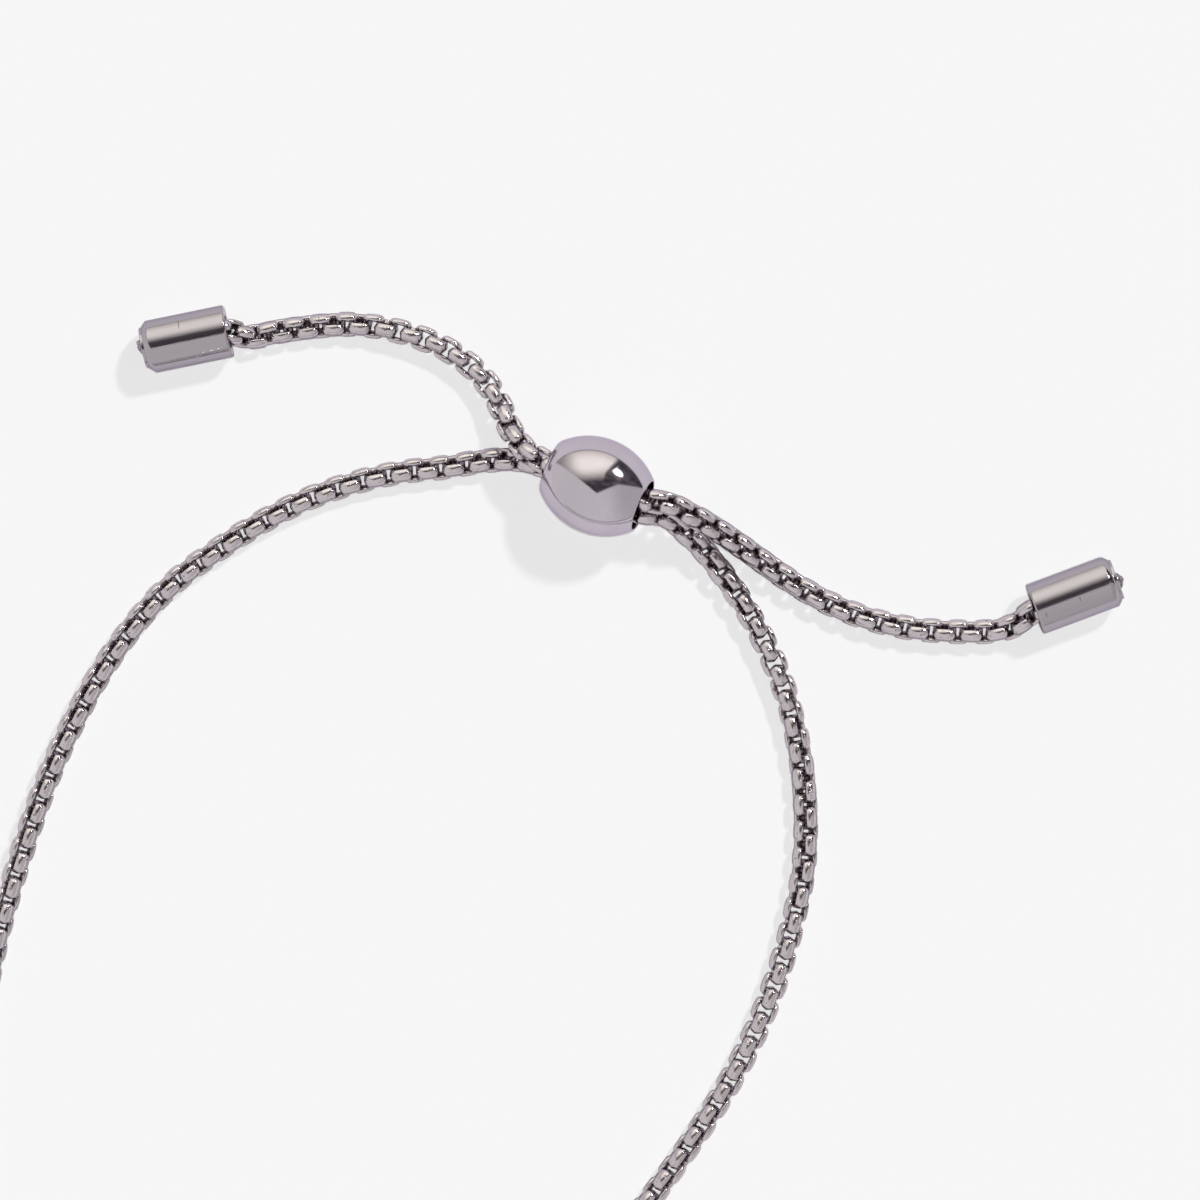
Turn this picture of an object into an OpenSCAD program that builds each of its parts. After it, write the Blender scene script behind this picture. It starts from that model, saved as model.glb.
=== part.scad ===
// Bolo slider bracelet, lying flat: one round box chain whose two ends cross inside a barrel bead
// and finish in small bored cylinders. Millimetres, Z up, the surface it lies on is Z = 0.

/* [Chain] */
// Width of the chain across two opposite plates of its links
chain_w = 1.8; // [1.5:0.05:1.95]

/* [Slider bead] */
// Width of the bead at its belly
bead_d = 6.85; // [6:0.05:8]
// Length of the bead from mouth to mouth
bead_len = 7.15; // [6:0.05:8.5]
// Thickness of the bead's steel wall
bead_wall = 0.35; // [0.25:0.05:0.6]
// Thickness of the bright rim round each mouth
rim_t = 0.14; // [0.1:0.02:0.24]
// How far the right end of the bead is tipped up, in degrees
bead_tilt = 8; // [0:1:12]

/* [Grip core] */
// How far the rubber core lies behind each mouth
core_inset = 0.9; // [0.5:0.1:1.6]
// Gap between the core and the inside of the bead
core_gap = 0.05; // [0.02:0.01:0.1]

/* [End caps] */
// Width of each end cap
cap_d = 3.7; // [3.2:0.05:4.6]
// Length of each end cap, without its weld nub
cap_len = 6.15; // [4.5:0.05:8]
// Thickness of the solid outer end of each cap
cap_end_wall = 1.8; // [1.2:0.1:2.6]
// Radial play of the chain in the bore of each cap
cap_play = 0.23; // [0.15:0.01:0.3]
// Rounding of the cap's edge on the chain side
cap_round = 0.14; // [0.08:0.02:0.24]
// Chamfer of the cap's outer edge, measured across
cap_chamfer = 0.3; // [0.2:0.02:0.4]
// Chamfer of the cap's outer edge, measured along the cap
cap_chamfer_len = 0.34; // [0.2:0.02:0.5]
// Width of the flat step between the chamfer and the raised disc
disc_step = 0.1; // [0.06:0.02:0.2]
// Height of the raised disc on the cap's outer end
disc_h = 0.2; // [0.1:0.02:0.3]
// Width of the weld nub in the middle of the disc
nub_d = 1.15; // [0.8:0.05:1.6]
// Height of the weld nub above the disc
nub_h = 0.34; // [0.2:0.02:0.5]

/* [Hidden] */

// Fineness of the turned surfaces
$fn = 96;
// The chain's solid is the tube that its slowly twisting links fill. It is a little narrower than the
// chain is across its plates, because the corners between the plates lie further in.
MEAN_WIDTH = 0.955;
tube_r = MEAN_WIDTH * chain_w / 2;
// Sides of that tube
TUBE_SIDES = 8;
// Most tube diameters between two rings of the tube
RING_PITCH = 3;

// Centre of each piece on the table and the way it points: across, up the table, heading in degrees.
// A cap's place is the middle of its open face, and its heading runs from there to its closed end.
BEAD_AT = [4.1, 26.15, -23];
LEFT_CAP_AT = [-22.05, 37.15, 191.5];
RIGHT_CAP_AT = [34.9, 17.45, 20.5];

// Steps of each strand's half turn inside the bead, its angle at the left mouth and the turn it makes
PASS_STEPS = 6;
PASS_START = 84;
PASS_TURN = 160;
// Gap left between the two strands, and between them and the mouth that they fill
pass_gap = 0.03;
mouth_gap = 0.05;
// The chain starts to bend this far outside the mouth of the bead or of a cap
bend_out = 0.3;
// Each straight step of the half turn cuts inside its circle, so the circle is that much larger
strand_r = (tube_r + pass_gap / 2) / cos(PASS_TURN / PASS_STEPS / 2);
mouth_r = strand_r + tube_r + mouth_gap;

// The barrel's outline is one arc, through the rim of each mouth and the belly
end_r = mouth_r + rim_t;
belly = bead_d / 2 - end_r;
barrel_r = (pow(bead_len / 2, 2) + pow(belly, 2)) / (2 * belly);
barrel_x = bead_d / 2 - barrel_r;

// The tipped bead rests on the point of its arc that faces down
bead_c = [BEAD_AT[0], BEAD_AT[1], barrel_r + barrel_x * cos(bead_tilt)];
bead_axis = [cos(BEAD_AT[2]) * cos(bead_tilt), sin(BEAD_AT[2]) * cos(bead_tilt), sin(bead_tilt)];
bead_side = [-sin(BEAD_AT[2]), cos(BEAD_AT[2]), 0];
bead_up = cross(bead_axis, bead_side);

cap_bore_r = tube_r + cap_play;
cap_bore_len = cap_len - cap_end_wall;
// The chain leans by this much in a cap's mouth, and stops this far short of the bottom of its bore
cap_lean = cap_play * [0, -0.6, -0.3];
cap_end_gap = 0.1;

// The chain's route where it lies free: across, up the table, and its rise, from 0 where it lies on
// the table to 1 at the height at which it leaves the nearest bead mouth or cap mouth.
ROUTE = [
    // left cap to the bead's left mouth
    [[-20.9, 36.7, 0.35], [-19.2, 37, 0], [-16.5, 37.4, 0], [-12.9, 37.6, 0], [-9.6, 37, 0],
     [-6.4, 35.7, 0], [-3.9, 33.6, 0.05], [-2.6, 31.4, 0.2], [-1.8, 29.7, 0.52], [-0.7, 28.5, 0.87]],
    // bead's right mouth, round the wrist, to its left mouth
    [[8.8, 24.1, 0.7], [10.2, 23, 0.39], [11.6, 21.6, 0.13], [13, 19.8, 0.02], [17.1, 12.2, 0],
     [18.7, 3.7, 0], [18.6, -0.7, 0], [17.8, -4.8, 0], [14.9, -13, 0], [10.5, -20.4, 0],
     [4.3, -28.1, 0], [-3.8, -34.1, 0], [-13.1, -37.4, 0], [-22.9, -37.9, 0], [-31.9, -34.9, 0],
     [-38.1, -27.8, 0], [-40.3, -18.2, 0], [-39.1, -8.4, 0], [-36.9, -0.1, 0], [-33.8, 8.1, 0],
     [-29.4, 15.6, 0], [-26.5, 18.9, 0], [-23, 21.6, 0], [-15.4, 25.7, 0], [-9.6, 27.2, 0],
     [-6.8, 27.5, 0], [-3.4, 28, 0.07], [-1.3, 28, 0.5]],
    // bead's right mouth to the right cap
    [[8.8, 25, 0.94], [10.4, 24.3, 0.75], [12, 23.4, 0.49], [13.8, 22.2, 0.23], [15.6, 20.9, 0.07],
     [18.2, 19.1, 0], [21.5, 17.4, 0], [25.2, 16.3, 0], [29, 15.9, 0], [32.2, 16, 0.12],
     [33.6, 16.4, 0.52]]
];

// A free stretch in space, between mouths at the heights z_from and z_to
function laid(rows, z_from, z_to) = [
    for (i = [0 : len(rows) - 1])
        let (z_end = i < len(rows) / 2 ? z_from : z_to)
        [rows[i][0], rows[i][1], tube_r + rows[i][2] * (z_end - tube_r)]
];

// One strand's way through the bead, on a circle round the bore, starting at the angle a
function bead_pass(a) = [
    for (k = [0 : PASS_STEPS])
        let (
            t = a + PASS_TURN * k / PASS_STEPS,
            along = (k / PASS_STEPS - 0.5) * (bead_len + 2 * bend_out)
        )
        bead_c + along * bead_axis + strand_r * (cos(t) * bead_side + sin(t) * bead_up)
];

// The two ends of the chain's stretch in a cap: just outside its mouth, and short of its bore's bottom
function heading(at) = [cos(at[2]), sin(at[2]), 0];
function cap_mouth(at) = [at[0], at[1], cap_d / 2] + cap_lean - bend_out * heading(at);
function cap_bottom(at) = [at[0], at[1], cap_d / 2] + (cap_bore_len - cap_end_gap) * heading(at);

// The whole chain from cap to cap: every point that its tube passes through
over_pass = bead_pass(PASS_START);
under_pass = bead_pass(PASS_START + 180);
left_cap_z = cap_mouth(LEFT_CAP_AT)[2];
right_cap_z = cap_mouth(RIGHT_CAP_AT)[2];
knots = concat(
    [cap_bottom(LEFT_CAP_AT), cap_mouth(LEFT_CAP_AT)],
    laid(ROUTE[0], left_cap_z, over_pass[0][2]),
    over_pass,
    laid(ROUTE[1], over_pass[PASS_STEPS][2], under_pass[0][2]),
    under_pass,
    laid(ROUTE[2], under_pass[PASS_STEPS][2], right_cap_z),
    [cap_mouth(RIGHT_CAP_AT), cap_bottom(RIGHT_CAP_AT)]
);
last = len(knots) - 1;

// Direction of the smooth curve at a knot, from its two neighbours weighted by their distances
function slope(i) =
    i == 0 ? (knots[1] - knots[0]) / norm(knots[1] - knots[0]) :
    i == last ? (knots[last] - knots[last - 1]) / norm(knots[last] - knots[last - 1]) :
    let (a = norm(knots[i] - knots[i - 1]), b = norm(knots[i + 1] - knots[i]))
    ((knots[i] - knots[i - 1]) * b / a + (knots[i + 1] - knots[i]) * a / b) / (a + b);

// Point of the curve between knots i and i + 1, at the share u of the way
function on_curve(i, u) =
    let (h = norm(knots[i + 1] - knots[i]))
    (1 + 2 * u) * pow(1 - u, 2) * knots[i] + h * u * pow(1 - u, 2) * slope(i)
    + pow(u, 2) * (3 - 2 * u) * knots[i + 1] - h * pow(u, 2) * (1 - u) * slope(i + 1);

// Rings of the tube: at every knot, and between knots that lie further apart than the ring pitch
function steps(i) = ceil(norm(knots[i + 1] - knots[i]) / (RING_PITCH * 2 * tube_r));
middles = concat(
    [
        for (i = [0 : last - 1], k = [0 : steps(i) - 1])
            let (p = on_curve(i, k / steps(i)))
            [p[0], p[1], max(p[2], tube_r)]
    ],
    [knots[last]]
);
rings = len(middles);

// Eight corners round the tube at ring i, square to the way the tube runs there
function ring(i) =
    let (
        way = middles[min(i + 1, rings - 1)] - middles[max(i - 1, 0)],
        across = cross([0, 0, 1], way),
        side = across / norm(across),
        rise = cross(way, side) / norm(way)
    )
    [for (k = [0 : TUBE_SIDES - 1])
        let (t = 360 * k / TUBE_SIDES)
        middles[i] + tube_r * (cos(t) * side + sin(t) * rise)];

module chain() {
    corners = [for (i = [0 : rings - 1]) each ring(i)];
    wall = [
        for (i = [0 : rings - 2], k = [0 : TUBE_SIDES - 1])
            let (
                a = i * TUBE_SIDES + k,
                b = i * TUBE_SIDES + (k + 1) % TUBE_SIDES,
                c = b + TUBE_SIDES,
                d = a + TUBE_SIDES
            )
            each [[a, c, b], [a, d, c]]
    ];
    ends = [
        [for (k = [0 : TUBE_SIDES - 1]) k],
        [for (k = [TUBE_SIDES - 1 : -1 : 0]) (rings - 1) * TUBE_SIDES + k]
    ];
    color([0.7, 0.68, 0.7])
        polyhedron(points = corners, faces = concat(wall, ends), convexity = 10);
}

// Places a shape that is turned about Z so that its axis is the bead's
module at_bead() {
    translate(bead_c)
        rotate([0, 0, BEAD_AT[2]])
            rotate([0, 90 - bead_tilt, 0])
                children();
}

// The barrel's outline shrunk by inset, as long as given, from the axis outwards
module barrel_half(inset, length) {
    intersection() {
        translate([barrel_x, 0])
            circle(r = barrel_r - inset);
        translate([0, -length / 2])
            square([bead_d, length]);
    }
}

module slider_bead() {
    color([0.75, 0.73, 0.74])
        at_bead()
            rotate_extrude()
                difference() {
                    barrel_half(0, bead_len);
                    barrel_half(bead_wall, bead_len - 2 * rim_t);
                    translate([0, -bead_len])
                        square([mouth_r, 2 * bead_len]);
                }
}

module grip_core() {
    color([0.14, 0.12, 0.11])
        at_bead()
            rotate_extrude()
                difference() {
                    barrel_half(bead_wall + core_gap, bead_len - 2 * core_inset);
                    translate([0, -bead_len])
                        square([mouth_r, 2 * bead_len]);
                }
}

// Half outline of an end cap, its open face at Y = 0 and its axis along Y
module cap_half() {
    r = cap_d / 2;
    chamfer_end = cap_len - disc_h;
    chamfer_start = chamfer_end - cap_chamfer_len;
    step_r = r - cap_chamfer;
    nub_ball = (pow(nub_d / 2, 2) + pow(nub_h, 2)) / (2 * nub_h);
    difference() {
        union() {
            square([r - cap_round, chamfer_start]);
            translate([r - cap_round, cap_round])
                circle(r = cap_round);
            translate([0, cap_round])
                square([r, chamfer_start - cap_round]);
            polygon([[0, chamfer_start], [r, chamfer_start], [step_r, chamfer_end], [0, chamfer_end]]);
            square([step_r - disc_step, cap_len]);
            intersection() {
                translate([0, cap_len + nub_h - nub_ball])
                    circle(r = nub_ball);
                translate([0, chamfer_end])
                    square([nub_d, cap_len]);
            }
        }
        translate([0, -cap_len])
            square([cap_bore_r, cap_len + cap_bore_len]);
    }
}

module end_cap(at) {
    color([0.72, 0.7, 0.71])
        translate([at[0], at[1], cap_d / 2])
            rotate([0, 0, at[2]])
                rotate([0, 90, 0])
                    rotate_extrude()
                        cap_half();
}

module end_cap_left() {
    end_cap(LEFT_CAP_AT);
}

module end_cap_right() {
    end_cap(RIGHT_CAP_AT);
}

slider_bead();
grip_core();
chain();
end_cap_left();
end_cap_right();
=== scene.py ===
"""Bolo slider bracelet, lying flat on a pale table. Metres, Z up, the table is Z = 0."""
from math import copysign, cos, pi, radians, sin, sqrt

import bpy
from mathutils import Matrix, Vector, noise


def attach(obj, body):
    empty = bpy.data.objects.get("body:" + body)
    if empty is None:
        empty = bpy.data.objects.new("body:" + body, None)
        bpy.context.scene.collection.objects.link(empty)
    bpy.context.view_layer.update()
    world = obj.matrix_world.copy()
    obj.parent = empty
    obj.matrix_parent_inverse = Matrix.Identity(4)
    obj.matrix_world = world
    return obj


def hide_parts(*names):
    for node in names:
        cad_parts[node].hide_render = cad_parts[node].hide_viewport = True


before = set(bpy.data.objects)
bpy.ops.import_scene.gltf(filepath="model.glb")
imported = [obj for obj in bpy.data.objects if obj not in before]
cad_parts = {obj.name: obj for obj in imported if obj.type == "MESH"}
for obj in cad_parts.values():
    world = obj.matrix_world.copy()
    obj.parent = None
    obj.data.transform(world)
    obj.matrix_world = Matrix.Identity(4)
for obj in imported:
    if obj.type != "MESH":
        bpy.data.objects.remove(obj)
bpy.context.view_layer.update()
scene = bpy.context.scene

# Camera
# A long lens looks almost straight down, a little from the right, at a point between the bead and
# the middle of the wrist loop. The near part of the loop is outside the picture.
LOOK_AT = Vector((0.00421, 0.01812, 0.0009))
CAMERA_DISTANCE = 0.65
CAMERA_LEAN = radians(2.5)
PICTURE_WIDTH = 0.08471

lens = bpy.data.cameras.new("camera")
lens.sensor_width = 36
lens.lens = lens.sensor_width * CAMERA_DISTANCE / PICTURE_WIDTH
lens.clip_start = 0.01
camera = bpy.data.objects.new("camera", lens)
camera.rotation_euler = (0, CAMERA_LEAN, 0)
camera.location = LOOK_AT + CAMERA_DISTANCE * Vector((sin(CAMERA_LEAN), 0, cos(CAMERA_LEAN)))
scene.collection.objects.link(camera)
scene.camera = camera
scene.view_settings.view_transform = "Standard"


# Table and studio
# A matt white table under a strong light overhead and a weaker one from the far right, which casts
# the pale shadows. The steel reflects what stands round it: a grey wall on the near side, a warm
# soft light on the far side, a dark doorway to the right and one small bright lamp.
TABLE_SIZE = 4
TABLE_WHITE = 0.88
BACKDROP = (0.93, 0.93, 0.93, 1)
SKYLIGHT = (0.12, 0.12, 0.12, 1)
GREY_WALL = (0.88, 0.89, 0.85, 1)
SHADED_WALL = (0.66, 0.66, 0.64, 1)
WARM_LIGHT = (1.6, 1.61, 1.4, 1)
LOW_LIGHT = (0.95, 0.9, 0.78, 1)
DOORWAY = (0.05, 0.045, 0.055, 1)
DOORWAY_GLEAM = (0.22, 0.2, 0.2, 1)
SKIRTING = (0.34, 0.31, 0.33, 1)
SKIRTING_HEIGHT = 0.05
TOP_FROM = (0, radians(87.5))
TOP_STRENGTH = 2.43
TOP_SOFTNESS = radians(3)
KEY_FROM = (radians(49), radians(46))
KEY_STRENGTH = 0.7
KEY_SOFTNESS = radians(5)
GLINT_FROM = (radians(46), radians(35))
GLINT_REACH = radians(4.2)
GLINT = (80, 78, 74, 1)
# Slope and offset of the wall's top edge on its left and right side, and of the ceiling gap's edge
WALL_LEFT_EDGE = (-1.08, -0.37)
WALL_RIGHT_EDGE = (0.69, -0.19)
WALL_HIGHEST = 0.2
GAP_EDGE = (0.25, 0.21)
# From and to where the doorway and the ceiling gap fade in
DOORWAY_FADE = (0.45, 0.55)
DOORWAY_CURVE = 0.42
GAP_FADE = (-0.55, 0.06)


def add(tree, kind, inputs=None, **settings):
    """A new node with its settings, and its inputs set to a value or linked to another's output."""
    node = tree.nodes.new(kind)
    for name, value in settings.items():
        setattr(node, name, value)
    for name, value in (inputs or {}).items():
        if isinstance(value, bpy.types.NodeSocket):
            tree.links.new(value, node.inputs[name])
        else:
            node.inputs[name].default_value = value
    return node


def maths(tree, operation, a, b=0.0):
    """The result of a sum, product or other operation on two numbers."""
    return add(tree, "ShaderNodeMath", {0: a, 1: b}, operation=operation).outputs[0]


def sloped(tree, value, slope, offset):
    """The value times a slope, plus an offset."""
    return add(tree, "ShaderNodeMath", {0: value, 1: slope, 2: offset},
               operation="MULTIPLY_ADD").outputs[0]


def step(tree, value, low, high):
    """A soft step from 0 where the value is low to 1 where it is high."""
    sockets = {"Value": value, "From Min": low, "From Max": high}
    return add(tree, "ShaderNodeMapRange", sockets, interpolation_type="SMOOTHSTEP").outputs[0]


def blend_colours(tree, share, a, b):
    """A colour that goes from a to b as the share goes from 0 to 1."""
    node = add(tree, "ShaderNodeMix", {"Factor": share}, data_type="RGBA")
    for socket, colour in ((node.inputs[6], a), (node.inputs[7], b)):
        if isinstance(colour, bpy.types.NodeSocket):
            tree.links.new(colour, socket)
        else:
            socket.default_value = colour
    return node.outputs[2]


def direction(azimuth, height):
    """The unit vector towards an azimuth and a height above the table, both in radians."""
    return Vector((cos(height) * cos(azimuth), cos(height) * sin(azimuth), sin(height)))


def studio_colour(tree):
    """What stands round the table in each direction: wall, soft light, doorway, skirting, lamp."""
    way = add(tree, "ShaderNodeTexCoord").outputs["Generated"]
    x, y, z = add(tree, "ShaderNodeSeparateXYZ", {"Vector": way}).outputs
    # The wall's top edge is a wide V, lowest a little left of straight above the table
    right_arm = maths(tree, "MINIMUM", sloped(tree, x, *WALL_RIGHT_EDGE), WALL_HIGHEST)
    wall_top = maths(tree, "MAXIMUM", sloped(tree, x, *WALL_LEFT_EDGE), right_arm)
    beyond_wall = step(tree, maths(tree, "SUBTRACT", y, wall_top), -0.02, 0.02)
    # Faint streaks of light cross the dark parts
    wide = add(tree, "ShaderNodeVectorMath", {0: way, 1: (1, 3, 1)}, operation="MULTIPLY").outputs[0]
    streaks = add(tree, "ShaderNodeTexNoise", {"Vector": wide, "Scale": 4.0, "Detail": 3.0}).outputs[0]
    dark = blend_colours(tree, step(tree, streaks, 0.42, 0.75), DOORWAY, DOORWAY_GLEAM)
    # The soft light is dimmer near the table, fades to the left and ends at the doorway and at the
    # ceiling gap
    rising = blend_colours(tree, step(tree, z, -0.1, 0.55), LOW_LIGHT, WARM_LIGHT)
    fading = maths(tree, "MULTIPLY", step(tree, maths(tree, "MULTIPLY", x, -1), 0.35, 0.9), 0.75)
    light = blend_colours(tree, fading, rising, dark)
    curve = maths(tree, "MULTIPLY", maths(tree, "MULTIPLY", z, z), DOORWAY_CURVE)
    doorway = step(tree, maths(tree, "ADD", x, curve), *DOORWAY_FADE)
    below_gap_edge = maths(tree, "SUBTRACT", sloped(tree, x, *GAP_EDGE), y)
    ceiling_gap = step(tree, below_gap_edge, *GAP_FADE)
    far_side = blend_colours(tree, maths(tree, "MAXIMUM", doorway, ceiling_gap), light, dark)
    wall = blend_colours(tree, step(tree, x, 0.0, 0.7), GREY_WALL, SHADED_WALL)
    room = blend_colours(tree, beyond_wall, wall, far_side)
    # The skirting runs along the far and the near side only
    to_a_side = step(tree, maths(tree, "MULTIPLY", x, x), 0.5, 0.7)
    above_skirting = step(tree, z, SKIRTING_HEIGHT * 0.7, SKIRTING_HEIGHT)
    room = blend_colours(tree, maths(tree, "MAXIMUM", above_skirting, to_a_side), SKIRTING, room)
    nearness = add(tree, "ShaderNodeVectorMath", {0: way, 1: direction(*GLINT_FROM)},
                   operation="DOT_PRODUCT").outputs["Value"]
    on_lamp = step(tree, nearness, cos(GLINT_REACH * 1.2), cos(GLINT_REACH * 0.8))
    return blend_colours(tree, on_lamp, room, GLINT)


studio = bpy.data.worlds.new("studio")
studio.use_nodes = True
studio_nodes = studio.node_tree
studio_nodes.nodes.clear()
rays = add(studio_nodes, "ShaderNodeLightPath").outputs
# The camera sees a plain backdrop, the table gets an even glow and only the steel sees the studio
even = blend_colours(studio_nodes, rays["Is Camera Ray"], SKYLIGHT, BACKDROP)
in_view = maths(studio_nodes, "LESS_THAN", rays["Diffuse Depth"], 0.5)
mirrored = maths(studio_nodes, "MULTIPLY", rays["Is Glossy Ray"], in_view)
surround = blend_colours(studio_nodes, mirrored, even, studio_colour(studio_nodes))
background = add(studio_nodes, "ShaderNodeBackground", {"Color": surround})
add(studio_nodes, "ShaderNodeOutputWorld", {"Surface": background.outputs[0]})
scene.world = studio

for name, strength, softness, came_from in (
        ("top_light", TOP_STRENGTH, TOP_SOFTNESS, TOP_FROM),
        ("key_light", KEY_STRENGTH, KEY_SOFTNESS, KEY_FROM)):
    sun = bpy.data.lights.new(name, "SUN")
    sun.energy = strength
    sun.angle = softness
    lamp = bpy.data.objects.new(name, sun)
    lamp.location = LOOK_AT + direction(*came_from)
    lamp.rotation_euler = direction(*came_from).to_track_quat("Z", "Y").to_euler()
    lamp.visible_glossy = False
    scene.collection.objects.link(lamp)

table_mesh = bpy.data.meshes.new("table")
half = TABLE_SIZE / 2
corners = [(-half, -half, 0), (half, -half, 0), (half, half, 0), (-half, half, 0)]
table_mesh.from_pydata(corners, [], [(0, 1, 2, 3)])
table = bpy.data.objects.new("table", table_mesh)
table_white = bpy.data.materials.new("table_white")
table_white.use_nodes = True
table_surface = table_white.node_tree.nodes["Principled BSDF"].inputs
table_surface["Base Color"].default_value = (TABLE_WHITE, TABLE_WHITE, TABLE_WHITE, 1)
table_surface["Roughness"].default_value = 1
table_surface["Specular IOR Level"].default_value = 0
table_mesh.materials.append(table_white)
scene.collection.objects.link(table)


# Round box chain
# One steel chain of some 290 bent and crowned links, each turned a quarter round from the last and
# hooked through it. It runs from the left cap through the bead, round the wrist, through the bead
# again and into the right cap, and it slowly rolls over as it lies.
LINK_LENGTH = 0.00166
LINK_WIDTH = 0.0018
LINK_PITCH = 0.00093
STRIP_WIDTH = 0.0009
STRIP_END_WIDTH = 0.00062
PLATE_THICKNESS = 0.0004
END_THICKNESS = 0.00034
CORNER_RADIUS = 0.0004
PLATE_BULGE = 0.00003
# How far the link's ends darken with tarnish and painted shade, where two ends face each other
END_SHADE_AND_TARNISH = 0.45
CHAIN_MIDDLE = 0.0008595
LINK_WOBBLE = radians(2)
LINK_SEED = 7
ROUTE_SPACING = 0.0002
CHAIN_METAL = (0.585, 0.527, 0.567)
# Tarnish and painted shade: the dark colour in the recesses between the plates
TARNISH_AND_PAINTED_SHADE = (0.068, 0.048, 0.04, 1)

BEAD_LENGTH = 0.00715
BEAD_BARREL_RADIUS = 0.0050303
BEAD_RADIUS = 0.003425
BEAD_TURN = radians(-23)
BEAD_TILT = radians(-8)
BEAD_MIDDLE = Vector((0.0041, 0.02615, BEAD_BARREL_RADIUS
                      - (BEAD_BARREL_RADIUS - BEAD_RADIUS) * cos(BEAD_TILT)))
BEAD_PLACE = (Matrix.Translation(BEAD_MIDDLE) @ Matrix.Rotation(BEAD_TURN, 4, "Z")
              @ Matrix.Rotation(BEAD_TILT, 4, "Y"))
CAP_RADIUS = 0.00185
LEFT_CAP_PLACE = (Matrix.Translation((-0.02205, 0.03715, CAP_RADIUS))
                  @ Matrix.Rotation(radians(191.5), 4, "Z"))
RIGHT_CAP_PLACE = (Matrix.Translation((0.0349, 0.01745, CAP_RADIUS))
                   @ Matrix.Rotation(radians(20.5), 4, "Z"))
BEND_OUT = 0.0003
CHAIN_IN_CAP = 0.00425
CHAIN_LEAN = Vector((0, -0.000138, -0.000069))
STRAND_RADIUS = 0.0008991
PASS_STEPS = 6
PASS_START = 84
PASS_TURN = 160
# Rolls of the chain in the bead, from its left mouth or its right one, and in the caps, in degrees
OVER_PASS_ROLLS = (-2, 45)
UNDER_PASS_ROLLS = (225, 216)
LEFT_CAP_ROLL = 56
RIGHT_MOUTH_ROLL = 220
RIGHT_CAP_ROLL = 225

# Across, up the table, rise from 0 where it lies to 1 at the nearest mouth's height, and roll in
# degrees
CHAIN_ROUTE = [
    # left cap to the bead's left mouth
    [[-0.0209, 0.0367, 0.35, 56], [-0.0192, 0.037, 0, 52], [-0.0165, 0.0374, 0, 43],
     [-0.0129, 0.0376, 0, 31], [-0.0096, 0.037, 0, 6], [-0.0064, 0.0357, 0, 3],
     [-0.0039, 0.0336, 0.05, 0], [-0.0026, 0.0314, 0.2, -6], [-0.0018, 0.0297, 0.52, -10],
     [-0.0007, 0.0285, 0.87, -6]],
    # bead's right mouth, round the wrist, to its left mouth
    [[0.0088, 0.0241, 0.7, 45], [0.0102, 0.023, 0.39, 52], [0.0116, 0.0216, 0.13, 54],
     [0.013, 0.0198, 0.02, 55], [0.0171, 0.0122, 0, 97], [0.0187, 0.0037, 0, 138],
     [0.0186, -0.0007, 0, 148], [0.0178, -0.0048, 0, 167], [0.0149, -0.013, 0, 183],
     [0.0105, -0.0204, 0, 198], [0.0043, -0.0281, 0, 204], [-0.0038, -0.0341, 0, 212],
     [-0.0131, -0.0374, 0, 217], [-0.0229, -0.0379, 0, 212], [-0.0319, -0.0349, 0, 206],
     [-0.0381, -0.0278, 0, 198], [-0.0403, -0.0182, 0, 197], [-0.0391, -0.0084, 0, 201],
     [-0.0369, -0.0001, 0, 206], [-0.0338, 0.0081, 0, 208], [-0.0294, 0.0156, 0, 209],
     [-0.0265, 0.0189, 0, 208], [-0.023, 0.0216, 0, 206], [-0.0154, 0.0257, 0, 202],
     [-0.0096, 0.0272, 0, 204], [-0.0068, 0.0275, 0, 209], [-0.0034, 0.028, 0.07, 217],
     [-0.0013, 0.028, 0.5, 222]],
    # bead's right mouth to the right cap
    [[0.0088, 0.025, 0.94, 214], [0.0104, 0.0243, 0.75, 216], [0.012, 0.0234, 0.49, 220],
     [0.0138, 0.0222, 0.23, 221], [0.0156, 0.0209, 0.07, 221], [0.0182, 0.0191, 0, 216],
     [0.0215, 0.0174, 0, 209], [0.0252, 0.0163, 0, 205], [0.029, 0.0159, 0, 205],
     [0.0322, 0.016, 0.12, 208], [0.0336, 0.0164, 0.52, 215]],
]


def laid(rows, z_from, z_to):
    """A free stretch of the chain between mouths at two heights, as pairs of point and roll."""
    stretch = []
    for number, (x, y, rise, roll) in enumerate(rows):
        z_end = z_from if number < len(rows) / 2 else z_to
        z = CHAIN_MIDDLE + rise * (z_end - CHAIN_MIDDLE)
        stretch.append((Vector((x, y, z)), roll))
    return stretch


def bead_pass(start, roll_from, roll_to):
    """One strand's way through the bead, winding round the other, as pairs of point and roll."""
    stretch = []
    for number in range(PASS_STEPS + 1):
        share = number / PASS_STEPS
        turn = radians(start + PASS_TURN * share)
        along = (share - 0.5) * (BEAD_LENGTH + 2 * BEND_OUT)
        point = BEAD_PLACE @ Vector((along, STRAND_RADIUS * cos(turn), STRAND_RADIUS * sin(turn)))
        stretch.append((point, roll_from + share * (roll_to - roll_from)))
    return stretch


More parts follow.
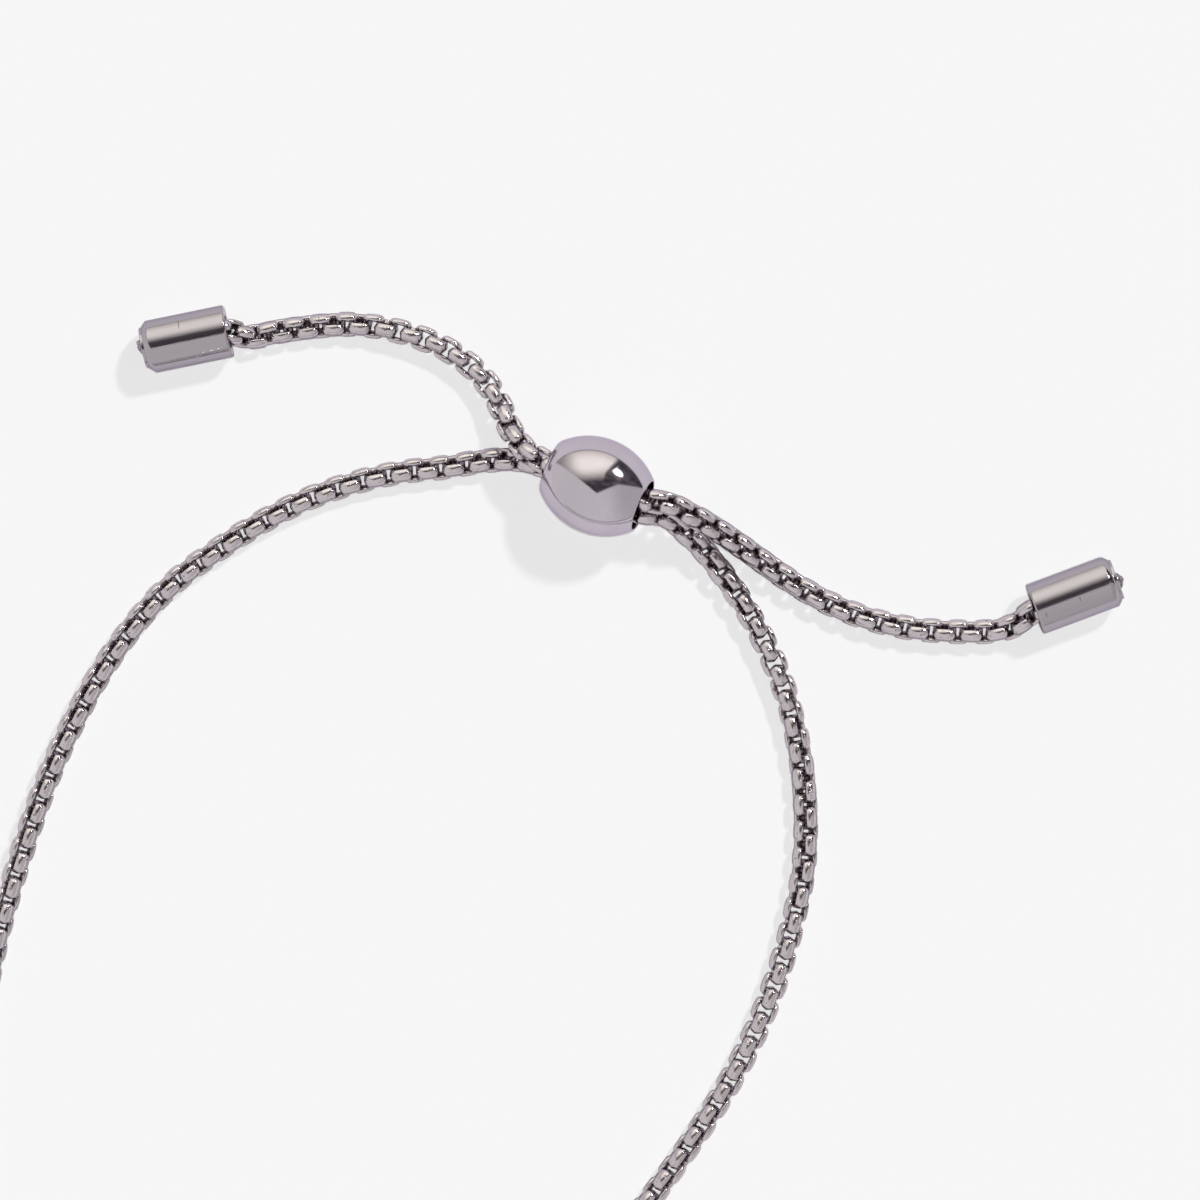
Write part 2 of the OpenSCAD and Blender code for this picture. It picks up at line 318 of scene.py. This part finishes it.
def smooth_route(knots, spacing):
    """Points and rolls along a smooth curve through the knots."""
    points = [point for point, roll in knots]
    last = len(points) - 1
    slopes = []
    for i in range(last + 1):
        before = points[i] - points[max(i - 1, 0)]
        after = points[min(i + 1, last)] - points[i]
        if i in (0, last):
            slopes.append((before + after).normalized())
            continue
        a = before.length
        b = after.length
        slopes.append((before * b / a + after * a / b) / (a + b))
    route = []
    for i in range(last):
        span = (points[i + 1] - points[i]).length
        count = max(1, round(span / spacing))
        for k in range(count):
            u = k / count
            point = ((1 + 2 * u) * (1 - u) ** 2 * points[i] + span * u * (1 - u) ** 2 * slopes[i]
                     + u * u * (3 - 2 * u) * points[i + 1] - span * u * u * (1 - u) * slopes[i + 1])
            route.append((point, knots[i][1] + u * (knots[i + 1][1] - knots[i][1])))
    route.append(knots[last])
    return route


def link_mesh():
    """One link: a flat strip bent into a rounded ring, crowned outside and slimmer at its ends.

    The recess attribute, which sets the painted shade and tarnish, is 0 on the crown of the plates, 1
    on the inner side and in between where two ends face each other.
    """
    # The strip's section: height and place across, as shares of its size, and the recess there
    section = [(0, -0.44, 0.3), (0, 0, 1), (0, 0.44, 0.3), (0.64, 0.5, 0.05), (1, 0, 0),
               (0.64, -0.5, 0.05)]
    # Where the outside of the ring faces at each of its cuts, in degrees
    turns = (5, 45, 81, 90, 99, 135, 175, 185, 225, 261, 270, 279, 315, 355)
    vertices = []
    recess = []
    for turn in turns:
        normal = Vector((cos(radians(turn)), sin(radians(turn)), 0))
        corner = Vector((copysign(LINK_LENGTH / 2 - CORNER_RADIUS, normal.x),
                         copysign(LINK_WIDTH / 2 - PLATE_BULGE - CORNER_RADIUS, normal.y), 0))
        outer = normal * LINK_WIDTH / 2 if turn in (90, 270) else corner + CORNER_RADIUS * normal
        width = STRIP_WIDTH + normal.x ** 4 * (STRIP_END_WIDTH - STRIP_WIDTH)
        thickness = PLATE_THICKNESS + normal.x ** 2 * (END_THICKNESS - PLATE_THICKNESS)
        for height, across, depth in section:
            vertices.append(outer + (height - 1) * thickness * normal
                            + Vector((0, 0, across * width)))
            recess.append(max(depth, END_SHADE_AND_TARNISH * normal.x ** 4))
    sides = len(section)
    faces = []
    for i in range(len(turns)):
        after = (i + 1) % len(turns)
        for k in range(sides):
            beside = (k + 1) % sides
            faces.append((i * sides + k, i * sides + beside, after * sides + beside,
                          after * sides + k))
    mesh = bpy.data.meshes.new("link")
    mesh.from_pydata(vertices, [], faces)
    mesh.attributes.new("recess", "FLOAT", "POINT").data.foreach_set("value", recess)
    mesh.polygons.foreach_set("use_smooth", [True] * len(mesh.polygons))
    return mesh


def links_along_route():
    """Geometry Nodes: links evenly spaced along a route, each turned a quarter from the last."""
    tree = bpy.data.node_groups.new("links_along_route", "GeometryNodeTree")
    for name, kind in (("Route", "Geometry"), ("Link", "Object"), ("Links", "Int"),
                       ("Wobble", "Float"), ("Seed", "Int"), ("Metal", "Material")):
        tree.interface.new_socket(name, in_out="INPUT", socket_type="NodeSocket" + kind)
    tree.interface.new_socket("Chain", in_out="OUTPUT", socket_type="NodeSocketGeometry")
    given = add(tree, "NodeGroupInput").outputs
    line = add(tree, "GeometryNodeMeshToCurve", {"Mesh": given["Route"]})
    places = add(tree, "GeometryNodeResampleCurve",
                 {"Curve": line.outputs[0], "Count": given["Links"]}, mode="COUNT")
    tangent = add(tree, "GeometryNodeInputTangent").outputs[0]
    along = add(tree, "FunctionNodeAlignRotationToVector", {"Vector": tangent}, axis="X")
    upright = add(tree, "FunctionNodeAlignRotationToVector",
                  {"Rotation": along.outputs[0], "Vector": (0, 0, 1)}, axis="Z", pivot_axis="X")
    odd = maths(tree, "MODULO", add(tree, "GeometryNodeInputIndex").outputs[0], 2)
    quarter = maths(tree, "MULTIPLY", odd, pi / 2)
    roll = add(tree, "GeometryNodeInputNamedAttribute", {"Name": "roll"}, data_type="FLOAT")
    turn = maths(tree, "ADD", quarter, roll.outputs[0])
    wobble = add(tree, "ShaderNodeCombineXYZ",
                 {"X": given["Wobble"], "Y": given["Wobble"], "Z": given["Wobble"]}).outputs[0]
    minus = add(tree, "ShaderNodeVectorMath", {0: wobble, 1: (-1, -1, -1)}, operation="MULTIPLY")
    shake = add(tree, "FunctionNodeRandomValue",
                {0: minus.outputs[0], 1: wobble, "Seed": given["Seed"]}, data_type="FLOAT_VECTOR")
    own_turn = add(tree, "ShaderNodeCombineXYZ", {"X": turn}).outputs[0]
    euler = add(tree, "ShaderNodeVectorMath", {0: own_turn, 1: shake.outputs[0]}, operation="ADD")
    local = add(tree, "FunctionNodeEulerToRotation", {"Euler": euler.outputs[0]})
    facing = add(tree, "FunctionNodeRotateRotation",
                 {"Rotation": upright.outputs[0], "Rotate By": local.outputs[0]},
                 rotation_space="LOCAL")
    link = add(tree, "GeometryNodeObjectInfo", {"Object": given["Link"]})
    hung = add(tree, "GeometryNodeInstanceOnPoints",
               {"Points": places.outputs[0], "Instance": link.outputs["Geometry"],
                "Rotation": facing.outputs[0]})
    real = add(tree, "GeometryNodeRealizeInstances", {"Geometry": hung.outputs[0]})
    metal = add(tree, "GeometryNodeSetMaterial",
                {"Geometry": real.outputs[0], "Material": given["Metal"]})
    add(tree, "NodeGroupOutput", {"Chain": metal.outputs[0]})
    return tree


def group_of(name, inputs, outputs):
    """A new shader node group with its named sockets, its input node's outputs and its output node."""
    group = bpy.data.node_groups.new(name, "ShaderNodeTree")
    for socket, kind, value in inputs:
        made = group.interface.new_socket(socket, in_out="INPUT", socket_type="NodeSocket" + kind)
        made.default_value = value
    for socket, kind in outputs:
        group.interface.new_socket(socket, in_out="OUTPUT", socket_type="NodeSocket" + kind)
    return group, add(group, "NodeGroupInput").outputs, add(group, "NodeGroupOutput")


def make_steel_wear():
    """Wear of handled steel: faint cloudy tone, uneven gloss, a fine grain and small dark nicks."""
    group, given, result = group_of(
        "steel_wear",
        [("Vector", "Vector", (0, 0, 0)), ("Grain", "Float", 9000.0), ("Clouds", "Float", 700.0),
         ("Gloss", "Float", 0.2), ("Gloss Spread", "Float", 0.1), ("Nicks", "Float", 0.1)],
        [("Tone", "Float"), ("Roughness", "Float"), ("Height", "Float")])
    grain = add(group, "ShaderNodeTexNoise",
                {"Vector": given["Vector"], "Scale": given["Grain"], "Detail": 3.0}).outputs[0]
    clouds = add(group, "ShaderNodeTexNoise",
                 {"Vector": given["Vector"], "Scale": given["Clouds"], "Detail": 2.0}).outputs[0]
    nick_scale = maths(group, "MULTIPLY", given["Grain"], 0.9)
    nick_noise = add(group, "ShaderNodeTexNoise",
                     {"Vector": given["Vector"], "Scale": nick_scale, "Detail": 1.0,
                      "Distortion": 0.6}).outputs[0]
    threshold = maths(group, "SUBTRACT", 0.95, maths(group, "MULTIPLY", given["Nicks"], 0.5))
    nicks = step(group, maths(group, "SUBTRACT", nick_noise, threshold), 0.0, 0.03)
    bare = maths(group, "MULTIPLY", sloped(group, clouds, 0.16, 0.9),
                 sloped(group, grain, 0.06, 0.97))
    shade = maths(group, "SUBTRACT", 1.0, maths(group, "MULTIPLY", nicks, 0.6))
    tone = maths(group, "MULTIPLY", bare, shade)
    uneven = maths(group, "MULTIPLY", maths(group, "SUBTRACT", clouds, 0.5), given["Gloss Spread"])
    gloss = maths(group, "ADD", maths(group, "ADD", given["Gloss"], uneven),
                  maths(group, "MULTIPLY", nicks, 0.25))
    height = maths(group, "SUBTRACT", grain, nicks)
    group.links.new(tone, result.inputs["Tone"])
    group.links.new(gloss, result.inputs["Roughness"])
    group.links.new(height, result.inputs["Height"])
    return group


steel_wear = make_steel_wear()
STEEL_LILAC = (0.76, 0.7, 0.8, 1)


def steel(name, metal, bump, lilac=STEEL_LILAC):
    """A metal material and its shader, with the bump's depth, ready for its colour and wear."""
    material = bpy.data.materials.new(name)
    material.use_nodes = True
    tree = material.node_tree
    shader = tree.nodes["Principled BSDF"]
    shader.inputs["Base Color"].default_value = (*metal, 1)
    shader.inputs["Metallic"].default_value = 1
    shader.inputs["Specular Tint"].default_value = lilac
    relief = add(tree, "ShaderNodeBump", {"Strength": 1.0, "Distance": bump})
    tree.links.new(relief.outputs[0], shader.inputs["Normal"])
    return material, tree, shader, relief


def tinted(tree, colour, tone):
    """A colour made lighter or darker by a tone that changes over the surface."""
    return add(tree, "ShaderNodeVectorMath", {0: colour, 1: tone}, operation="MULTIPLY").outputs[0]


def chain_steel():
    """Tumbled steel: glossy crowns, tiny nicks, and dark tarnish with painted shade between the
    plates.
    """
    material, tree, shader, relief = steel("chain_steel", CHAIN_METAL, 0.000004)
    place = add(tree, "ShaderNodeTexCoord").outputs["Object"]
    wear = add(tree, "ShaderNodeGroup", {"Vector": place, "Grain": 7000, "Clouds": 900,
                                         "Gloss": 0.2, "Gloss Spread": 0.14, "Nicks": 0.55},
               node_tree=steel_wear).outputs
    recess = add(tree, "ShaderNodeAttribute", attribute_name="recess").outputs["Fac"]
    # Painted shade and tarnish darken the steel towards the inner side and the facing ends of the
    # links
    shade_and_tarnish = maths(tree, "MULTIPLY", step(tree, recess, 0.2, 0.95), 0.92)
    metal = tinted(tree, CHAIN_METAL, wear["Tone"])
    tree.links.new(blend_colours(tree, shade_and_tarnish, metal, TARNISH_AND_PAINTED_SHADE), shader.inputs["Base Color"])
    rough = maths(tree, "ADD", wear["Roughness"], maths(tree, "MULTIPLY", shade_and_tarnish, 0.3))
    tree.links.new(rough, shader.inputs["Roughness"])
    tree.links.new(wear["Height"], relief.inputs["Height"])
    return material


over_pass = bead_pass(PASS_START, *OVER_PASS_ROLLS)
under_pass = bead_pass(PASS_START + 180, *UNDER_PASS_ROLLS)
left_mouth = LEFT_CAP_PLACE @ Vector((-BEND_OUT, 0, 0)) + CHAIN_LEAN
right_mouth = RIGHT_CAP_PLACE @ Vector((-BEND_OUT, 0, 0)) + CHAIN_LEAN
chain_knots = [
    (LEFT_CAP_PLACE @ Vector((CHAIN_IN_CAP, 0, 0)), LEFT_CAP_ROLL), (left_mouth, LEFT_CAP_ROLL),
    *laid(CHAIN_ROUTE[0], left_mouth.z, over_pass[0][0].z), *over_pass,
    *laid(CHAIN_ROUTE[1], over_pass[-1][0].z, under_pass[0][0].z), *under_pass,
    *laid(CHAIN_ROUTE[2], under_pass[-1][0].z, right_mouth.z), (right_mouth, RIGHT_MOUTH_ROLL),
    (RIGHT_CAP_PLACE @ Vector((CHAIN_IN_CAP, 0, 0)), RIGHT_CAP_ROLL)]
chain_route = smooth_route(chain_knots, ROUTE_SPACING)
# Face up, the chain lies on the crowns of its plates. Rolled by 45 degrees, it sinks a little.
FACE_UP_LIFT = 0.00006
ROLLED_SINK = 0.00006
route_points = []
for point, roll in chain_route:
    settled = FACE_UP_LIFT - ROLLED_SINK * sin(2 * radians(roll)) ** 2
    route_points.append(Vector((point.x, point.y, max(point.z, CHAIN_MIDDLE) + settled)))
route_length = sum((b - a).length for a, b in zip(route_points, route_points[1:]))
route_mesh = bpy.data.meshes.new("chain_route")
route_mesh.from_pydata(route_points, [(i, i + 1) for i in range(len(route_points) - 1)], [])
route_rolls = [radians(roll) for point, roll in chain_route]
route_mesh.attributes.new("roll", "FLOAT", "POINT").data.foreach_set("value", route_rolls)

link = bpy.data.objects.new("link", link_mesh())
chain = bpy.data.objects.new("chain_links", route_mesh)
scene.collection.objects.link(chain)
links = chain.modifiers.new("links", "NODES")
links.node_group = links_along_route()
chain_inputs = {"Link": link, "Links": round(route_length / LINK_PITCH), "Wobble": LINK_WOBBLE,
                "Seed": LINK_SEED, "Metal": chain_steel()}
for socket in links.node_group.interface.items_tree:
    if socket.in_out == "INPUT" and socket.name in chain_inputs:
        links[socket.identifier] = chain_inputs[socket.name]
graph = bpy.context.evaluated_depsgraph_get()
linked_mesh = bpy.data.meshes.new_from_object(chain.evaluated_get(graph), depsgraph=graph)
chain.modifiers.remove(links)
chain.data = linked_mesh
bpy.data.objects.remove(link)
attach(chain, "root")
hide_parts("chain")


# Grip core
# A dark rubber ring inside the bead. It presses on both strands and holds the bead where it is put.
def core_rubber():
    """Matt dark rubber with a moulded grain."""
    material = bpy.data.materials.new("core_rubber")
    material.use_nodes = True
    tree = material.node_tree
    shader = tree.nodes["Principled BSDF"]
    place = add(tree, "ShaderNodeTexCoord").outputs["Object"]
    grain = add(tree, "ShaderNodeTexNoise",
                {"Vector": place, "Scale": 5000.0, "Detail": 4.0}).outputs[0]
    shade = blend_colours(tree, grain, (0.012, 0.01, 0.009, 1), (0.04, 0.032, 0.028, 1))
    relief = add(tree, "ShaderNodeBump", {"Distance": 0.00001, "Height": grain})
    tree.links.new(shade, shader.inputs["Base Color"])
    tree.links.new(sloped(tree, grain, 0.3, 0.5), shader.inputs["Roughness"])
    tree.links.new(relief.outputs[0], shader.inputs["Normal"])
    return material


grip_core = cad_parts["grip_core"]
grip_core.data.materials.clear()
grip_core.data.materials.append(core_rubber())


# Slider bead
# A barrel of polished steel, pressed from thin sheet and open at both ends, with a narrow bright
# rim round each mouth. Its belly is left plain.
BEAD_WALL = 0.00035
BEAD_MOUTH_RADIUS = 0.0018086
BEAD_RIM = 0.00014
BEAD_SIDES = 128
BEAD_ARC_POINTS = 36
BEAD_METAL = (0.53, 0.48, 0.545)


def turned(name, outline, place, sides, closed):
    """A turned piece from its half outline, pairs along and away from its axis.

    A closed outline is a ring in section. An open one starts and ends on the axis.
    """
    vertices = []
    rows = []
    for along, radius in outline:
        count = sides if radius > 0 else 1
        rows.append([len(vertices) + k for k in range(count)])
        for k in range(count):
            turn = 2 * pi * k / sides
            vertices.append(place @ Vector((along, radius * cos(turn), radius * sin(turn))))
    faces = []
    pairs = list(zip(rows, rows[1:] + rows[:1])) if closed else list(zip(rows, rows[1:]))
    for first, second in pairs:
        for k in range(sides):
            after = (k + 1) % sides
            face = [first[k % len(first)], second[k % len(second)],
                    second[after % len(second)], first[after % len(first)]]
            faces.append(list(dict.fromkeys(face)))
    mesh = bpy.data.meshes.new(name)
    mesh.from_pydata(vertices, [], faces)
    mesh.polygons.foreach_set("use_smooth", [True] * len(mesh.polygons))
    mesh.set_sharp_from_angle(angle=radians(38))
    piece = bpy.data.objects.new(name, mesh)
    scene.collection.objects.link(piece)
    return piece


def barrel_radius(along, inset):
    """Distance from the bead's axis to its barrel, or to the same arc inset by a wall."""
    arc = BEAD_BARREL_RADIUS - inset
    return BEAD_RADIUS - BEAD_BARREL_RADIUS + sqrt(arc * arc - along * along)


def bead_outline():
    """The wall in section: barrel from left to right, rounded rim, and back along the inside."""
    half_length = BEAD_LENGTH / 2
    lip = BEAD_RIM * 0.45
    outside = []
    for k in range(BEAD_ARC_POINTS + 1):
        along = (2 * k / BEAD_ARC_POINTS - 1) * (half_length - lip)
        outside.append((along, barrel_radius(along, 0)))
    end_radius = barrel_radius(half_length, 0)
    rim = [(half_length - lip * 0.3, end_radius + lip * 0.15), (half_length, end_radius - lip * 0.6),
           (half_length, BEAD_MOUTH_RADIUS + lip * 0.4),
           (half_length - lip * 0.4, BEAD_MOUTH_RADIUS)]
    inside = []
    for k in range(BEAD_ARC_POINTS + 1):
        along = (1 - 2 * k / BEAD_ARC_POINTS) * (half_length - BEAD_RIM)
        inside.append((along, max(BEAD_MOUTH_RADIUS, barrel_radius(along, BEAD_WALL))))
    other_rim = [(-along, radius) for along, radius in reversed(rim)]
    return outside + rim + inside + other_rim


def own_frame(tree, place):
    """The shaded spot in the frame of a piece that stands at a place."""
    spot = add(tree, "ShaderNodeTexCoord").outputs["Object"]
    return add(tree, "ShaderNodeMapping",
               {"Vector": spot, "Location": place.translation, "Rotation": place.to_euler()},
               vector_type="TEXTURE").outputs[0]


def squeezed(tree, spot, shares):
    """The same spot squeezed along some axes, for marks that run one way."""
    return add(tree, "ShaderNodeVectorMath", {0: spot, 1: shares}, operation="MULTIPLY").outputs[0]


def bead_steel():
    """Polished steel with hairline polishing marks round the barrel."""
    material, tree, shader, relief = steel("bead_steel", BEAD_METAL, 0.0000012)
    hairlines = squeezed(tree, own_frame(tree, BEAD_PLACE), (1, 0.14, 0.14))
    wear = add(tree, "ShaderNodeGroup", {"Vector": hairlines, "Grain": 9000, "Clouds": 900,
                                         "Gloss": 0.1, "Gloss Spread": 0.1, "Nicks": 0},
               node_tree=steel_wear).outputs
    tree.links.new(tinted(tree, BEAD_METAL, wear["Tone"]), shader.inputs["Base Color"])
    tree.links.new(wear["Roughness"], shader.inputs["Roughness"])
    tree.links.new(wear["Height"], relief.inputs["Height"])
    return material


slider_bead = turned("bead", bead_outline(), BEAD_PLACE, BEAD_SIDES, closed=True)
slider_bead.data.materials.append(bead_steel())
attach(slider_bead, "root")
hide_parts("slider_bead")


# End caps
# Two short cylinders of satin steel, bored from the chain's side. The closed end has a chamfer, a
# narrow step and a raised disc, with a rough weld nub a little off its middle.
CAP_LENGTH = 0.00615
CAP_BORE_RADIUS = 0.0010895
CAP_BORE_DEPTH = 0.00435
CAP_ROUND = 0.00014
CAP_CHAMFER = 0.0003
CAP_CHAMFER_LENGTH = 0.00034
DISC_STEP = 0.0001
DISC_HEIGHT = 0.0002
NUB_WIDTH = 0.00115
NUB_HEIGHT = 0.00034
NUB_OFFSET = 0.00015
NUB_RINGS = 8
LUMPS_ALONG = 0.00013
LUMPS_ACROSS = 0.0001
CAP_SIDES = 96
CAP_ROUND_STEPS = 6
CAP_METAL = (0.41, 0.375, 0.42)
CAP_LILAC = (0.6, 0.55, 0.64, 1)
WELD_STAIN = (0.14, 0.11, 0.12, 1)
MARK_DEPTH = 1.2


def cap_outline():
    """Half outline: the bore from its bottom to the mouth, the body, the closed end and the nub."""
    lip = 0.00005
    soft = 0.00004
    face = CAP_LENGTH - DISC_HEIGHT
    slope = face - CAP_CHAMFER_LENGTH
    step_radius = CAP_RADIUS - CAP_CHAMFER
    disc_radius = step_radius - DISC_STEP
    outline = [(CAP_BORE_DEPTH, 0), (CAP_BORE_DEPTH, CAP_BORE_RADIUS), (lip, CAP_BORE_RADIUS),
               (0, CAP_BORE_RADIUS + lip)]
    for k in reversed(range(CAP_ROUND_STEPS + 1)):
        turn = pi / 2 * k / CAP_ROUND_STEPS
        outline.append((CAP_ROUND * (1 - sin(turn)),
                        CAP_RADIUS - CAP_ROUND * (1 - cos(turn))))
    outline += [(CAP_ROUND + 4 * soft, CAP_RADIUS), (slope - 5 * soft, CAP_RADIUS),
                (slope - soft, CAP_RADIUS), (slope + soft, CAP_RADIUS - soft * 0.75),
                (face - soft, step_radius + soft * 0.8), (face, step_radius - soft * 0.5),
                (face, disc_radius + soft * 0.2), (CAP_LENGTH - soft, disc_radius),
                (CAP_LENGTH, disc_radius - soft)]
    ball = ((NUB_WIDTH / 2) ** 2 + NUB_HEIGHT ** 2) / (2 * NUB_HEIGHT)
    for k in range(NUB_RINGS + 1):
        radius = NUB_WIDTH / 2 * (1 - k / NUB_RINGS)
        rise = sqrt(ball * ball - radius * radius) - (ball - NUB_HEIGHT)
        outline.append((CAP_LENGTH + rise, radius))
    return outline


def roughen_nub(cap, place, seed):
    """Pushes the weld nub off centre and makes its surface lumpy."""
    back = place.inverted()
    margin = 0.00001
    for vertex in cap.data.vertices:
        local = back @ vertex.co
        rise = local.x - CAP_LENGTH
        reach = sqrt(local.y ** 2 + local.z ** 2)
        if reach > NUB_WIDTH / 2 + margin or rise < -margin:
            continue
        # The lumps grow to their full size on the lowest third of the nub
        share = min(1, max(0, rise) / NUB_HEIGHT * 3)
        local.x += share * noise.noise(local * 5200 + Vector((seed, seed, seed))) * LUMPS_ALONG
        local.y -= NUB_OFFSET
        local.y += share * noise.noise(local * 4100 + Vector((seed, 0, 0))) * LUMPS_ACROSS
        vertex.co = place @ local


def make_mark():
    """A mask that is 1 in a small box round a place and fades out at its edges."""
    group, given, result = group_of(
        "mark", [("Vector", "Vector", (0, 0, 0)), ("Place", "Vector", (0, 0, 0)),
                 ("Half Size", "Vector", (1, 1, 1))], [("Mask", "Float")])
    away = add(group, "ShaderNodeVectorMath", {0: given["Vector"], 1: given["Place"]},
               operation="SUBTRACT").outputs[0]
    size = add(group, "ShaderNodeVectorMath", {0: away}, operation="ABSOLUTE").outputs[0]
    share = add(group, "ShaderNodeVectorMath", {0: size, 1: given["Half Size"]},
                operation="DIVIDE").outputs[0]
    x, y, z = add(group, "ShaderNodeSeparateXYZ", {"Vector": share}).outputs
    farthest = maths(group, "MAXIMUM", maths(group, "MAXIMUM", x, y), z)
    fade = step(group, farthest, 0.55, 1.0)
    group.links.new(maths(group, "SUBTRACT", 1.0, fade), result.inputs["Mask"])
    return group


mark = make_mark()


def cap_steel(name, place, gloss, marks):
    """Satin steel, finely brushed along the cap, with marks of its own at places in its frame."""
    material, tree, shader, relief = steel(name, CAP_METAL, 0.000003, CAP_LILAC)
    spot = own_frame(tree, place)
    wear = add(tree, "ShaderNodeGroup", {"Vector": squeezed(tree, spot, (0.06, 1, 1)),
                                         "Grain": 14000, "Clouds": 1500, "Gloss": gloss,
                                         "Gloss Spread": 0.08, "Nicks": 0},
               node_tree=steel_wear).outputs
    metal = tinted(tree, CAP_METAL, wear["Tone"])
    height = wear["Height"]
    for middle, half_size, colour in marks:
        seen = add(tree, "ShaderNodeGroup", {"Vector": spot, "Place": middle, "Half Size": half_size},
                   node_tree=mark).outputs[0]
        metal = blend_colours(tree, seen, metal, colour)
        height = maths(tree, "SUBTRACT", height, maths(tree, "MULTIPLY", seen, MARK_DEPTH))
    # The weld on the closed end is duller and stained
    along = add(tree, "ShaderNodeSeparateXYZ", {"Vector": spot}).outputs[0]
    on_nub = step(tree, along, CAP_LENGTH + 0.00001, CAP_LENGTH + 0.00006)
    scale = add(tree, "ShaderNodeTexNoise",
                {"Vector": spot, "Scale": 6000.0, "Detail": 3.0}).outputs[0]
    stain = maths(tree, "MULTIPLY", on_nub, step(tree, scale, 0.45, 0.62))
    tree.links.new(blend_colours(tree, stain, metal, WELD_STAIN), shader.inputs["Base Color"])
    tree.links.new(maths(tree, "ADD", wear["Roughness"], maths(tree, "MULTIPLY", on_nub, 0.12)),
                   shader.inputs["Roughness"])
    tree.links.new(height, relief.inputs["Height"])
    return material


# Dark colour of scratches, also painted as shade in the notch at the weld nub's base
DARK_SCRATCH_AND_SHADE = (0.22, 0.19, 0.19, 1)
BRIGHT_NICK = (0.95, 0.93, 0.9, 1)
# Middle, half size and colour of each mark, in the cap's own frame
LEFT_CAP_MARKS = [
    ((0.00323, -0.00105, 0.0015), (0.00004, 0.00035, 0.001), DARK_SCRATCH_AND_SHADE),
    ((0.0008, 0.00118, 0.0014), (0.0001, 0.00003, 0.001), BRIGHT_NICK),
    ((0.0013, 0.0012, 0.0014), (0.00016, 0.00003, 0.001), BRIGHT_NICK),
    ((0.0019, 0.00121, 0.0014), (0.00008, 0.00003, 0.001), BRIGHT_NICK),
    # Painted shade in the notch at the base of the weld nub
    ((0.00615, -0.0002, 0.0005), (0.0002, 0.00017, 0.0002), DARK_SCRATCH_AND_SHADE)]
RIGHT_CAP_MARKS = [
    ((0.0006, -0.0006, 0.0018), (0.00004, 0.00018, 0.001), DARK_SCRATCH_AND_SHADE),
    ((0.0032, -0.0004, 0.0018), (0.00004, 0.00016, 0.001), DARK_SCRATCH_AND_SHADE)]

for name, node, place, gloss, marks, seed in (
        ("cap_left", "end_cap_left", LEFT_CAP_PLACE, 0.12, LEFT_CAP_MARKS, 3),
        ("cap_right", "end_cap_right", RIGHT_CAP_PLACE, 0.16, RIGHT_CAP_MARKS, 11)):
    cap = turned(name, cap_outline(), place, CAP_SIDES, closed=False)
    roughen_nub(cap, place, seed)
    cap.data.materials.append(cap_steel(name + "_steel", place, gloss, marks))
    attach(cap, "root")
    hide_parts(node)
